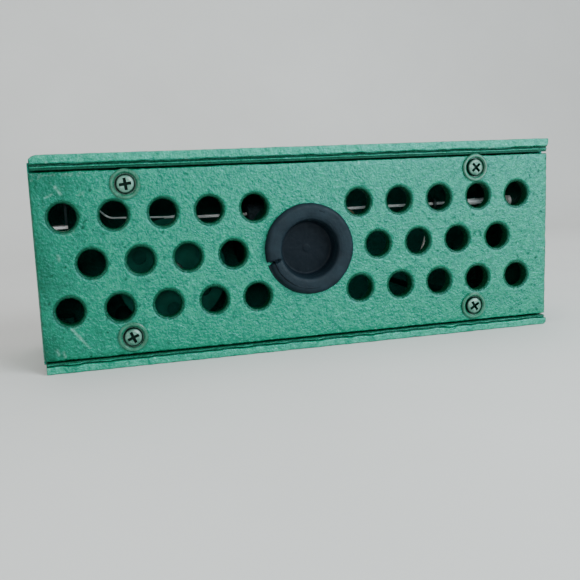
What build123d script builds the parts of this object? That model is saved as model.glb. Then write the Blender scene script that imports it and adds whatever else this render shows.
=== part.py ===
"""Box chalk line: a painted case with a perforated cover, a line reel with a folding crank, a chalk drum
closed by a rubber stopper, two guide sleeves, a line keeper, and a nozzle with a flat hook that parks in the end wall.

Frame: millimetres. +X along the case to the nozzle end, +Y from the perforated cover to the back, +Z up.
The origin is the centre of the underside of the case, which stands on the plane z = 0.
"""
from build123d import *
import math
import os

os.makedirs("parts", exist_ok=True)

# ---------------------------------------------------------------- driving dimensions
CASE_L = 230.0            # length of the cover and of the tray
CASE_H = 87.2             # over the top and bottom plates
CASE_D = 60.0             # over the lips and the back wall
ZC = CASE_H / 2           # height of the case's centre line
WALL = 3.0                # tray walls
LIP_L = 228.0             # length of the top and bottom plates
PLATE_T = 3.0             # thickness of the top and bottom plates
LIP_EDGE = (3.8, 3.2)     # height of the front lip on the top plate and on the bottom plate
LIP_T = (6.2, 4.4)        # height of the set-back strip behind each lip, which the cover fits between
LIP_STEP = 1.7            # how far the strip is set back from the lip
COVER_T = 5.5
COVER_H = CASE_H - LIP_T[0] - LIP_T[1] - 0.2
COVER_ZC = (LIP_T[1] + CASE_H - LIP_T[0]) / 2
COVER_Y0 = -28.5          # front face of the cover
COVER_Y1 = COVER_Y0 + COVER_T
BACK_Y0, BACK_Y1 = 26.5, 30.0
VENT_R = 6.3
XP = -2.3                 # the hole pattern, the stopper and the drum are centred here
ROW = 18.9                # height between rows of vent holes
TOP_ROW = (-103.2, -83.4, -63.7, -44.6, -25.6, 21.0, 40.1, 59.5, 79.0, 98.6)
MID_ROW = (-93.4, -73.9, -54.5, -35.4, 29.8, 49.1, 68.5, 88.7)
LOW_ROW = (-103.2, -83.3, -63.7, -44.4, -25.6, 21.0, 40.2, 59.3, 78.7, 98.7)
POSTS = ((-78.1, 31.0), (-79.1, -31.4), (77.2, 31.6), (76.5, -31.6))   # x, height from the centre line
POST_R = 4.0
CUP_OR, CUP_IR = 6.1, 4.9   # cup washers under the cover screws
CUP_DEPTH = 1.5
HEAD_R = 3.95
SCREW_R = 2.0
LINE_R = 0.75
LINE_Z = ZC + 14.6        # height of the line along the case
REEL_X, REEL_Z = -60.0, ZC - 8.0
REEL_R = 23.6
WOUND_R = LINE_Z - LINE_R - REEL_Z
DRUM_R, DRUM_IR = 22.0, 20.0
FELT_R = 4.5
NOZZLE_R, NOZZLE_BORE = 1.6, 1.0
STOPPER_HOLE_R = 16.5
END_WALL = 7.0            # the nozzle end wall is thick enough for the hook's pocket
POCKET_D = 4.4
GUIDE_X = (-28.0, 24.0)  # guide sleeves, under the line on each side of the drum
GROOVE_R, GUIDE_R = 3.6, 4.6
KEEPER_FOOT = (58.0, ZC - 25.0)
KEEPER_EYE_X = 70.4
CRANK_R = 29.0            # crank radius, spindle to handle hinge


def xz(y, x=0.0, z=0.0):
    """A sketch plane facing +Y at depth y: its local x is +X and its local y is +Z, extruding a positive amount towards -Y."""
    return Plane(origin=(x, y, z), x_dir=(1, 0, 0), z_dir=(0, -1, 0))


def save(part, name):
    part.label = name
    export_step(part, f"parts/{name}.step")


# ---------------------------------------------------------------- case tray: back wall, two end walls, tapped blocks
END_X = CASE_L / 2
BLOCK = (10.0, 10.0, 12.0)
BLOCK_XS = (-END_X + WALL + BLOCK[0] / 2, END_X - END_WALL - BLOCK[0] / 2)
BLOCK_Y = (-14.0, 18.0)
WALL_Z0, WALL_Z1 = PLATE_T, CASE_H - PLATE_T
with BuildPart() as case_tray:
    with BuildSketch(Plane.XY.offset(WALL_Z0)):
        with Locations((0, (COVER_Y1 + BACK_Y1) / 2)):
            Rectangle(CASE_L, BACK_Y1 - COVER_Y1)
        with Locations(((WALL - END_WALL) / 2, (COVER_Y1 + BACK_Y0) / 2)):
            Rectangle(CASE_L - WALL - END_WALL, BACK_Y0 - COVER_Y1, mode=Mode.SUBTRACT)
    extrude(amount=WALL_Z1 - WALL_Z0)
    fillet(case_tray.edges().filter_by(Axis.Z).group_by(Axis.Y)[-1], 2.0)
    for z0 in (WALL_Z0, WALL_Z1 - BLOCK[2]):
        with BuildSketch(Plane.XY.offset(z0)):
            with Locations(*[(x, y) for x in BLOCK_XS for y in BLOCK_Y]):
                Rectangle(BLOCK[0], BLOCK[1])
        extrude(amount=BLOCK[2])
    # tapped holes for the plate screws, from above and below
    for z0, d in ((WALL_Z1, -10.0), (WALL_Z0, 10.0)):
        with BuildSketch(Plane.XY.offset(z0)):
            with Locations(*[(x, y) for x in BLOCK_XS for y in BLOCK_Y]):
                Circle(1.55)
        extrude(amount=d, mode=Mode.SUBTRACT)
    # bearing hole for the reel bush, guide arm pin hole, and countersunk holes at the posts
    with BuildSketch(xz(BACK_Y1)):
        with Locations((REEL_X, REEL_Z)):
            Circle(5.5)
        with Locations(*[(x, LINE_Z - LINE_R - 0.05 - GROOVE_R) for x in GUIDE_X]):
            Circle(2.0)
        with Locations(*[(x, ZC + z) for x, z in POSTS]):
            Circle(SCREW_R + 0.2)
    extrude(amount=BACK_Y1 - BACK_Y0, mode=Mode.SUBTRACT)
    for x, z in POSTS:
        with BuildSketch(xz(BACK_Y1, x, ZC + z)):
            Circle(4.1)
        extrude(amount=1.9, taper=45, mode=Mode.SUBTRACT)
    # nozzle hole through the right end wall, and the outer pocket that the hook parks in
    with BuildSketch(Plane.YZ.offset(END_X - END_WALL)):
        with Locations((0, LINE_Z)):
            Circle(NOZZLE_R)
    extrude(amount=END_WALL, mode=Mode.SUBTRACT)
    with BuildSketch(Plane.YZ.offset(END_X - POCKET_D)):
        with Locations((0, (LINE_Z + 9.0 + LINE_Z - 35.0) / 2)):
            RectangleRounded(20.0, 44.0, 4.0)
    extrude(amount=POCKET_D, mode=Mode.SUBTRACT)
    with BuildSketch(Plane.YZ.offset(END_X - 1.6)):
        with Locations((0, LINE_Z - 35.0)):
            Circle(8.0)
    extrude(amount=1.6, mode=Mode.SUBTRACT)
save(case_tray.part, "case_tray")


# ---------------------------------------------------------------- top and bottom plates with a stepped front lip
def plate_profile(sign):
    """The plate's section in Y and Z, for the top (sign 1) or the bottom (sign -1)."""
    zo = CASE_H if sign > 0 else 0.0
    edge, strip = (LIP_EDGE[0], LIP_T[0]) if sign > 0 else (LIP_EDGE[1], LIP_T[1])
    pts = [(-30.0, 0.0), (-30.0, edge), (-30.0 + LIP_STEP, edge), (-30.0 + LIP_STEP, strip), (COVER_Y1 - 0.3, strip),
           (COVER_Y1 - 0.3, PLATE_T), (BACK_Y1, PLATE_T), (BACK_Y1, 0.0)]
    return [(y, zo - sign * d) for y, d in pts]


def make_plate(sign, name):
    with BuildPart() as plate:
        with BuildSketch(Plane.YZ.offset(-LIP_L / 2)):
            with BuildLine():
                Polyline(*plate_profile(sign), close=True)
            make_face()
        extrude(amount=LIP_L)
        zo = CASE_H if sign > 0 else 0.0
        outer = plate.edges().filter_by(Axis.X).filter_by(lambda e: abs(e.center().Z - zo) < 0.01)
        fillet(outer, 0.8)
        for x in BLOCK_XS:
            for y in BLOCK_Y:
                with BuildSketch(Plane(origin=(x, y, zo), x_dir=(1, 0, 0), z_dir=(0, 0, -sign))):
                    Circle(1.7)
                extrude(amount=PLATE_T, mode=Mode.SUBTRACT)
                with BuildSketch(Plane(origin=(x, y, zo), x_dir=(1, 0, 0), z_dir=(0, 0, -sign))):
                    Circle(3.1)
                extrude(amount=1.35, taper=45, mode=Mode.SUBTRACT)
    save(plate.part, name)


make_plate(1, "top_plate")
make_plate(-1, "bottom_plate")

with BuildPart() as plate_screws:
    for sign in (1, -1):
        zo = CASE_H if sign > 0 else 0.0
        for x in BLOCK_XS:
            for y in BLOCK_Y:
                with BuildSketch(Plane(origin=(x, y, zo - sign * 0.15), x_dir=(1, 0, 0), z_dir=(0, 0, -sign))):
                    Circle(2.9)
                extrude(amount=1.35, taper=45)
                with BuildSketch(Plane(origin=(x, y, zo - sign * 1.4), x_dir=(1, 0, 0), z_dir=(0, 0, -sign))):
                    Circle(1.5)
                extrude(amount=9.0)
                with BuildSketch(Plane(origin=(x, y, zo - sign * 0.15), x_dir=(1, 0, 0), z_dir=(0, 0, -sign))):
                    Rectangle(3.2, 0.7)
                    Rectangle(0.7, 3.2)
                extrude(amount=0.8, mode=Mode.SUBTRACT)
save(plate_screws.part, "plate_screws")

# ---------------------------------------------------------------- perforated front cover
with BuildPart() as front_cover:
    with BuildSketch(xz(COVER_Y1)):
        with Locations((0, COVER_ZC)):
            Rectangle(CASE_L, COVER_H)
    extrude(amount=COVER_T)
    fillet(front_cover.edges().filter_by(Axis.Y), 1.0)
    fillet(front_cover.faces().sort_by(Axis.Y)[0].edges(), 0.7)
    with BuildSketch(xz(COVER_Y1)):
        with Locations(*[(x, ZC + ROW) for x in TOP_ROW]):
            Circle(VENT_R)
        with Locations(*[(x, ZC) for x in MID_ROW]):
            Circle(VENT_R)
        with Locations(*[(x, ZC - ROW) for x in LOW_ROW]):
            Circle(VENT_R)
        with Locations((XP, ZC)):
            Circle(STOPPER_HOLE_R)
        with Locations(*[(x, ZC + z) for x, z in POSTS]):
            Circle(SCREW_R + 0.2)
    extrude(amount=COVER_T, mode=Mode.SUBTRACT)
    with BuildSketch(xz(COVER_Y0 + CUP_DEPTH)):
        with Locations(*[(x, ZC + z) for x, z in POSTS]):
            Circle(CUP_IR)
    extrude(amount=CUP_DEPTH, mode=Mode.SUBTRACT)
save(front_cover.part, "front_cover")

# ---------------------------------------------------------------- cup washers, cover screws, posts, back screws
with BuildPart() as cover_cup_washers:
    for x, z in POSTS:
        with BuildSketch(Plane(origin=(x, COVER_Y0, ZC + z), x_dir=(1, 0, 0), z_dir=(0, 0, 1))):
            with BuildLine():
                Polyline((SCREW_R + 0.2, CUP_DEPTH), (CUP_IR, CUP_DEPTH), (CUP_IR, 0.0), (CUP_OR, 0.0),
                         (CUP_OR, -0.35), (CUP_OR - 0.45, -0.7), (CUP_IR + 0.1, -0.7), (CUP_IR - 0.45, -0.2),
                         (CUP_IR - 0.45, CUP_DEPTH - 0.5), (SCREW_R + 0.2, CUP_DEPTH - 0.5), close=True)
            make_face()
        revolve(axis=Axis((x, 0, ZC + z), (0, 1, 0)), revolution_arc=360)
save(cover_cup_washers.part, "cover_cup_washers")

HEAD_Y = COVER_Y0 + CUP_DEPTH - 0.5
with BuildPart() as cover_screws:
    for i, (x, z) in enumerate(POSTS):
        with BuildSketch(Plane(origin=(x, HEAD_Y, ZC + z), x_dir=(1, 0, 0), z_dir=(0, 0, 1))):
            with BuildLine():
                Polyline((0, 17.0), (1.2, 17.0), (SCREW_R, 16.0), (SCREW_R, 0.0), (HEAD_R, 0.0), (HEAD_R, -1.0),
                         (HEAD_R - 0.35, -1.55), (HEAD_R - 1.2, -1.95), (2.4, -2.1), (0, -2.1), close=True)
            make_face()
        revolve(axis=Axis((x, 0, ZC + z), (0, 1, 0)), revolution_arc=360)
        turn = (8, 23, 41, 33)[i]
        with BuildSketch(xz(HEAD_Y - 2.1, x, ZC + z)):
            Rectangle(4.9, 1.25, rotation=turn)
            Rectangle(1.25, 4.9, rotation=turn)
        extrude(amount=-1.4, mode=Mode.SUBTRACT)
save(cover_screws.part, "cover_screws")

with BuildPart() as cover_posts:
    with BuildSketch(xz(BACK_Y0)):
        with Locations(*[(x, ZC + z) for x, z in POSTS]):
            Circle(POST_R)
            Circle(SCREW_R + 0.05, mode=Mode.SUBTRACT)
    extrude(amount=BACK_Y0 - COVER_Y1)
save(cover_posts.part, "cover_posts")

with BuildPart() as back_screws:
    for x, z in POSTS:
        with BuildSketch(xz(BACK_Y1 - 0.1, x, ZC + z)):
            Circle(3.9)
        extrude(amount=1.8, taper=45)
        with BuildSketch(xz(BACK_Y1 - 1.85, x, ZC + z)):
            Circle(SCREW_R)
        extrude(amount=13.0)
        with BuildSketch(xz(BACK_Y1 - 0.1, x, ZC + z)):
            Rectangle(4.4, 0.9, rotation=20)
            Rectangle(0.9, 4.4, rotation=20)
        extrude(amount=1.1, mode=Mode.SUBTRACT)
save(back_screws.part, "back_screws")

# ---------------------------------------------------------------- chalk drum, felt wipers, powder, stopper
FELT_X0, FELT_X1 = 11.5, 20.5
with BuildPart() as chalk_drum:
    with BuildSketch(xz(BACK_Y0)):
        with Locations((XP, ZC)):
            Circle(DRUM_R)
            Circle(DRUM_IR, mode=Mode.SUBTRACT)
    extrude(amount=BACK_Y0 - COVER_Y1)
    for s in (-1, 1):
        with BuildSketch(Plane.YZ.offset(XP + s * 3.0)):
            with Locations((0, LINE_Z)):
                Circle(FELT_R)
        extrude(amount=s * (FELT_X1 - 3.0), mode=Mode.SUBTRACT)
save(chalk_drum.part, "chalk_drum")

with BuildPart() as felt_wipers:
    for s in (-1, 1):
        with BuildSketch(Plane.YZ.offset(XP + s * FELT_X0)):
            with Locations((0, LINE_Z)):
                Circle(FELT_R)
                Circle(LINE_R + 0.12, mode=Mode.SUBTRACT)
        extrude(amount=s * (FELT_X1 - FELT_X0))
save(felt_wipers.part, "felt_wipers")

with BuildPart() as chalk_powder:
    with BuildSketch(xz(BACK_Y0)):
        with Locations((XP, ZC)):
            Circle(DRUM_IR)
        with Locations((XP, ZC + 14.0)):
            Rectangle(60, 40, mode=Mode.SUBTRACT)
    extrude(amount=38.0)
save(chalk_powder.part, "chalk_powder")

LIP_OUT = 2.9
with BuildPart() as rubber_stopper:
    with BuildSketch(Plane(origin=(XP, COVER_Y0, ZC), x_dir=(1, 0, 0), z_dir=(0, 0, 1))):
        with BuildLine():
            Polyline((0, 11.0), (14.6, 11.0), (15.8, 10.2), (16.4, 5.0), (16.4, -0.05), (19.8, -0.05), (20.0, -0.5), (20.0, -1.6))
            ThreePointArc((20.0, -1.6), (19.5, -2.5), (18.4, -LIP_OUT))
            Polyline((18.4, -LIP_OUT), (13.6, -LIP_OUT), (12.9, -2.2), (11.8, 4.0), (2.2, 4.0), (1.9, 3.5), (0, 3.5), (0, 11.0))
        make_face()
    revolve(axis=Axis((XP, 0, ZC), (0, 1, 0)), revolution_arc=360)
    # the nick torn in the lip
    with BuildSketch(xz(COVER_Y0 - 0.1, XP, ZC)):
        with Locations((18.3 * math.cos(math.radians(204)), 18.3 * math.sin(math.radians(204)))):
            Rectangle(8.0, 0.9, rotation=24)
    extrude(amount=4, mode=Mode.SUBTRACT)
save(rubber_stopper.part, "rubber_stopper")


# ---------------------------------------------------------------- reel
def ring(name, y0, y1, ro, ri, x, z):
    with BuildPart() as p:
        with BuildSketch(xz(y1, x, z)):
            Circle(ro)
            Circle(ri, mode=Mode.SUBTRACT)
        extrude(amount=y1 - y0)
    save(p.part, name)


SPINDLE_R = 3.0
DRUM_Y = 14.0             # half the width between the flanges
ring("reel_hub", -DRUM_Y, DRUM_Y, 8.0, SPINDLE_R, REEL_X, REEL_Z)
ring("wound_line", -DRUM_Y + 0.1, DRUM_Y - 0.1, WOUND_R, 8.0, REEL_X, REEL_Z)
for name, y1 in (("reel_front_flange", -DRUM_Y), ("reel_back_flange", DRUM_Y + 1.5)):
    with BuildPart() as flange:
        with BuildSketch(xz(y1, REEL_X, REEL_Z)):
            Circle(REEL_R)
            Circle(SPINDLE_R, mode=Mode.SUBTRACT)
            with PolarLocations(15.5, 6, start_angle=30):
                Circle(3.0, mode=Mode.SUBTRACT)
        extrude(amount=1.5)
        fillet(flange.edges().filter_by(GeomType.CIRCLE).filter_by(lambda e: abs(e.radius - REEL_R) < 0.01), 0.6)
    save(flange.part, name)

with BuildPart() as reel_spindle:
    with BuildSketch(xz(38.6, REEL_X, REEL_Z)):
        Circle(SPINDLE_R)
    extrude(amount=38.6 + DRUM_Y + 1.5)
    with BuildSketch(xz(-DRUM_Y - 1.5, REEL_X, REEL_Z)):
        Circle(5.2)
    extrude(amount=2.0)
    fillet(reel_spindle.edges().filter_by(GeomType.CIRCLE).sort_by(Axis.Y)[0], 0.8)
    with BuildSketch(xz(-DRUM_Y - 3.5, REEL_X, REEL_Z)):
        Rectangle(8.0, 1.2, rotation=35)
    extrude(amount=-1.0, mode=Mode.SUBTRACT)
save(reel_spindle.part, "reel_spindle")

with BuildPart() as reel_bush:
    with BuildSketch(xz(BACK_Y1 + 0.6, REEL_X, REEL_Z)):
        Circle(5.5)
        Circle(SPINDLE_R + 0.05, mode=Mode.SUBTRACT)
    extrude(amount=BACK_Y1 + 0.6 - DRUM_Y - 2.0)
    with BuildSketch(xz(BACK_Y0, REEL_X, REEL_Z)):
        Circle(8.5)
        Circle(5.4, mode=Mode.SUBTRACT)
    extrude(amount=2.5)
save(reel_bush.part, "reel_bush")

# ---------------------------------------------------------------- folding crank on the back
HINGE_X = REEL_X + CRANK_R
HINGE_Y = 40.6
ARM_Y0, ARM_Y1 = 31.6, 34.8
with BuildPart() as crank_arm:
    with BuildSketch(xz(ARM_Y1)):
        with Locations((REEL_X, REEL_Z)):
            Circle(8.0)
        with Locations((HINGE_X, REEL_Z)):
            Circle(4.6)
        with Locations((REEL_X + CRANK_R / 2, REEL_Z)):
            Rectangle(CRANK_R, 9.0)
        with Locations((REEL_X, REEL_Z)):
            Circle(SPINDLE_R, mode=Mode.SUBTRACT)
    extrude(amount=ARM_Y1 - ARM_Y0)
    for s in (-1, 1):
        z0 = REEL_Z + s * 3.5
        with BuildSketch(Plane.XY.offset(z0)):
            with Locations((HINGE_X, HINGE_Y)):
                Circle(3.6)
            with Locations((HINGE_X, (ARM_Y1 + HINGE_Y) / 2 - 0.2)):
                Rectangle(7.2, HINGE_Y - ARM_Y1 + 0.4)
            with Locations((HINGE_X, HINGE_Y)):
                Circle(1.5, mode=Mode.SUBTRACT)
        extrude(amount=s * 2.0)
save(crank_arm.part, "crank_arm")

with BuildPart() as crank_nut:
    with BuildSketch(xz(38.2, REEL_X, REEL_Z)):
        RegularPolygon(5.2, 6)
        Circle(SPINDLE_R, mode=Mode.SUBTRACT)
    extrude(amount=38.2 - ARM_Y1)
save(crank_nut.part, "crank_nut")

with BuildPart() as grip_hinge_pin:
    with BuildSketch(Plane.XY.offset(REEL_Z - 5.5)):
        with Locations((HINGE_X, HINGE_Y)):
            Circle(1.5)
    extrude(amount=11.0)
    for z0, a in ((REEL_Z + 5.5, 0.8), (REEL_Z - 5.5, -0.8)):
        with BuildSketch(Plane.XY.offset(z0)):
            with Locations((HINGE_X, HINGE_Y)):
                Circle(2.4)
        extrude(amount=a)
save(grip_hinge_pin.part, "grip_hinge_pin")

ROD_R = 2.0
with BuildPart() as grip_rod:
    with BuildSketch(Plane.XY.offset(REEL_Z - 3.3)):
        with Locations((HINGE_X, HINGE_Y)):
            Circle(3.5)
            Circle(1.55, mode=Mode.SUBTRACT)
    extrude(amount=6.6)
    with BuildSketch(Plane.YZ.offset(HINGE_X - 2.6)):
        with Locations((HINGE_Y, REEL_Z)):
            Circle(ROD_R)
    extrude(amount=-18.6)
    with BuildSketch(Plane.YZ.offset(HINGE_X - 21.2)):
        with Locations((HINGE_Y, REEL_Z)):
            Circle(3.4)
    extrude(amount=-1.2)
    with BuildSketch(Plane.XY.offset(REEL_Z - 4)):
        with Locations((HINGE_X, HINGE_Y)):
            Circle(1.55)
    extrude(amount=8, mode=Mode.SUBTRACT)
save(grip_rod.part, "grip_rod")

with BuildPart() as crank_grip:
    with BuildSketch(Plane(origin=(HINGE_X - 5.7, HINGE_Y, REEL_Z), x_dir=(-1, 0, 0), z_dir=(0, 0, 1))):
        with BuildLine():
            Polyline((0, 2.08), (0, 3.7))
            Spline((0, 3.7), (2.6, 4.45), (7.6, 4.0), (12.6, 4.45), (15.2, 3.7))
            Polyline((15.2, 3.7), (15.2, 2.08), (0, 2.08))
        make_face()
    revolve(axis=Axis((0, HINGE_Y, REEL_Z), (1, 0, 0)), revolution_arc=360)
save(crank_grip.part, "crank_grip")

# ---------------------------------------------------------------- fixed grooved guide sleeves on pins from the back wall; the line slides over them
GUIDE_Z = LINE_Z - LINE_R - 0.05 - GROOVE_R
with BuildPart() as guide_pins:
    for x in GUIDE_X:
        with BuildSketch(xz(BACK_Y1, x, GUIDE_Z)):
            Circle(2.0)
        extrude(amount=BACK_Y1 - 3.6)
        with BuildSketch(xz(BACK_Y0, x, GUIDE_Z)):
            Circle(3.2)
        extrude(amount=BACK_Y0 - 3.6)
        with BuildSketch(xz(3.6, x, GUIDE_Z)):
            Circle(1.5)
        extrude(amount=8.6)
save(guide_pins.part, "guide_pins")
with BuildPart() as guide_clips:
    with BuildSketch(xz(-3.6)):
        with Locations(*[(x, GUIDE_Z) for x in GUIDE_X]):
            Circle(2.7)
            Circle(1.5, mode=Mode.SUBTRACT)
    extrude(amount=0.8)
save(guide_clips.part, "guide_clips")
with BuildPart() as guide_sleeves:
    for x in GUIDE_X:
        with BuildSketch(Plane(origin=(x, 0, GUIDE_Z), x_dir=(1, 0, 0), z_dir=(0, 0, 1))):
            with BuildLine():
                Polyline((1.5, -3.6), (GUIDE_R, -3.6), (GUIDE_R, -2.4), (GROOVE_R, -1.1), (GROOVE_R, 1.1),
                         (GUIDE_R, 2.4), (GUIDE_R, 3.6), (1.5, 3.6), close=True)
            make_face()
        revolve(axis=Axis((x, 0, GUIDE_Z), (0, 1, 0)), revolution_arc=360)
save(guide_sleeves.part, "guide_sleeves")

# ---------------------------------------------------------------- line keeper: a foot plate, a slanted wire and an eye
KX, KZ = KEEPER_FOOT
K_LEN = math.hypot(KEEPER_EYE_X - KX, LINE_Z - 2.4 - KZ)
K_DIR = ((KEEPER_EYE_X - KX) / K_LEN, 0, (LINE_Z - 2.4 - KZ) / K_LEN)
with BuildPart() as line_keeper:
    with BuildSketch(xz(BACK_Y0, KX, KZ)):
        Circle(1.4)
    extrude(amount=BACK_Y0 + 2.0)
    with BuildSketch(Plane(origin=(KX, 0, KZ), z_dir=K_DIR)):
        Circle(0.55)
    extrude(amount=K_LEN + 0.8)
    with BuildSketch(Plane.YZ.offset(KEEPER_EYE_X - 0.7)):
        with Locations((0, LINE_Z)):
            Circle(2.4)
            Circle(1.3, mode=Mode.SUBTRACT)
    extrude(amount=1.4)
save(line_keeper.part, "line_keeper")

# ---------------------------------------------------------------- drag brake: a bracket on the left end wall and a wire spring over the front flange's rim
BRAKE_Y = -DRUM_Y - 0.75
with BuildPart() as brake_bracket:
    with BuildSketch(xz(-9.0)):
        with BuildLine():
            Polyline((-END_X + WALL, ZC + 5.0), (-END_X + WALL + 1.0, ZC + 5.0), (-END_X + WALL + 1.0, ZC + 13.8), (-101.3, ZC + 13.8),
                     (-101.3, ZC + 28.0), (-102.3, ZC + 28.0), (-102.3, ZC + 14.8), (-END_X + WALL, ZC + 14.8), close=True)
        make_face()
    extrude(amount=10.0)
save(brake_bracket.part, "brake_bracket")
with BuildPart() as brake_wire:
    with BuildLine(Plane.XZ.offset(-BRAKE_Y)) as brake_path:
        FilletPolyline((-101.3, ZC + 25.5), (-93.5, ZC + 25.5), (-85.0, ZC + 17.0), (-60.0, REEL_Z + REEL_R + 0.5), (-52.0, REEL_Z + REEL_R + 1.5),
                       radius=6.0)
    with BuildSketch(Plane.YZ.offset(-101.3)):
        with Locations((BRAKE_Y, ZC + 25.5)):
            Circle(0.4)
    sweep(path=brake_path.line)
save(brake_wire.part, "brake_wire")
with BuildPart() as brake_screw:
    with BuildSketch(Plane.YZ.offset(-END_X + WALL + 1.0)):
        with Locations((-14.0, ZC + 9.4)):
            Circle(2.8)
    extrude(amount=1.5)
    fillet(brake_screw.edges().filter_by(GeomType.CIRCLE).sort_by(Axis.X)[-1], 0.6)
    with BuildSketch(Plane.YZ.offset(-END_X + WALL + 1.9)):
        with Locations((-14.0, ZC + 9.4)):
            Rectangle(4.2, 0.8, rotation=60)
    extrude(amount=0.6, mode=Mode.SUBTRACT)
save(brake_screw.part, "brake_screw")

# ---------------------------------------------------------------- nozzle, line, bead and flat hook
POCKET_X = END_X - POCKET_D
with BuildPart() as line_nozzle:
    with BuildSketch(Plane(origin=(0, 0, LINE_Z), x_dir=(1, 0, 0), z_dir=(0, -1, 0))):
        with BuildLine():
            Polyline((80.0, 1.9), (80.4, 2.1), (81.0, 2.1), (82.0, NOZZLE_R), (POCKET_X, NOZZLE_R), (POCKET_X, NOZZLE_BORE),
                     (82.0, NOZZLE_BORE), (80.0, 1.5), close=True)
        make_face()
    revolve(axis=Axis((0, 0, LINE_Z), (1, 0, 0)), revolution_arc=360)
    with BuildSketch(Plane.YZ.offset(END_X - END_WALL - 1.4)):
        with Locations((0, LINE_Z)):
            SlotOverall(17.4, 4.8)
            Circle(NOZZLE_BORE, mode=Mode.SUBTRACT)
    extrude(amount=1.4)
save(line_nozzle.part, "line_nozzle")

HOOK_X0, HOOK_X1 = POCKET_X + 0.1, POCKET_X + 1.6
LINE_X1 = HOOK_X1 + 0.6
with BuildPart() as chalk_line:
    with BuildSketch(Plane.YZ.offset(REEL_X)):
        with Locations((0, LINE_Z)):
            Circle(LINE_R)
    extrude(amount=LINE_X1 - REEL_X)
save(chalk_line.part, "chalk_line")

with BuildPart() as line_bead:
    with BuildSketch(Plane.YZ.offset(HOOK_X1)):
        with Locations((0, LINE_Z)):
            Circle(2.6)
    extrude(amount=2.2)
    fillet(line_bead.edges().filter_by(GeomType.CIRCLE).sort_by(Axis.X)[-1], 0.8)
    with BuildSketch(Plane.YZ.offset(HOOK_X1)):
        with Locations((0, LINE_Z)):
            Circle(LINE_R + 0.08)
    extrude(amount=LINE_X1 - HOOK_X1 + 0.05, mode=Mode.SUBTRACT)
save(line_bead.part, "line_bead")

NAIL_HOLE_R = 2.1
NAIL_Z = LINE_Z - 24.0
with BuildPart() as line_hook:
    with BuildSketch(Plane.YZ.offset(HOOK_X0)):
        with Locations((0, LINE_Z - 12.0)):
            RectangleRounded(14.0, 36.0, 3.0)
        with Locations((0, LINE_Z)):
            Circle(LINE_R + 0.08, mode=Mode.SUBTRACT)
        with Locations((0, NAIL_Z)):
            Circle(NAIL_HOLE_R, mode=Mode.SUBTRACT)
        with Locations((0, LINE_Z - 10.5)):
            Rectangle(3.0, 12.0, mode=Mode.SUBTRACT)
    extrude(amount=HOOK_X1 - HOOK_X0)
save(line_hook.part, "line_hook")
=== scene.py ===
import bpy
import math
import numpy as np
from mathutils import Matrix, Vector, noise


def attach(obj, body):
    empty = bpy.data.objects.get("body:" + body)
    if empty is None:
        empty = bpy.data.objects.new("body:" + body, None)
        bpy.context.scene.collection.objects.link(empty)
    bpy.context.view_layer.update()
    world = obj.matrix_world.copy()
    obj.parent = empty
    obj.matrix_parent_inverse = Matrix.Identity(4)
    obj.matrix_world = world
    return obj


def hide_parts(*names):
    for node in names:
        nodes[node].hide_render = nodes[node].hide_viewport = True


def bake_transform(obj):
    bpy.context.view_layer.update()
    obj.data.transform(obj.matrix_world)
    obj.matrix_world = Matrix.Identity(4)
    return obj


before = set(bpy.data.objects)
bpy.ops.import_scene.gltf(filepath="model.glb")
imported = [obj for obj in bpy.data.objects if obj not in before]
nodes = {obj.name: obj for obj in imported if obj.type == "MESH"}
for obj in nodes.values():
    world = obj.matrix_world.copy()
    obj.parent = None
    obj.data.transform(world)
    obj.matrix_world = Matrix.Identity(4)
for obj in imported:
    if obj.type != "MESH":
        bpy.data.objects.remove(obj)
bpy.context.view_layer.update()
MM = 0.001

# ---------------------------------------------------------------- measures of the case
ZC = 43.6
CASE_H = 87.2
COVER_LO, COVER_HI = 4.5, 80.9
COVER_Y0 = -28.5
XP = -2.3
HEAD_FACE = -29.35
TOP_ROW = (-103.2, -83.4, -63.7, -44.6, -25.6, 21.0, 40.1, 59.5, 79.0, 98.6)
MID_ROW = (-93.4, -73.9, -54.5, -35.4, 29.8, 49.1, 68.5, 88.7)
LOW_ROW = (-103.2, -83.3, -63.7, -44.4, -25.6, 21.0, 40.2, 59.3, 78.7, 98.7)
SCREWS = ((-78.1, 31.0), (-79.1, -31.4), (77.2, 31.6), (76.5, -31.6))
LINE_Z = 58.2


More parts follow.
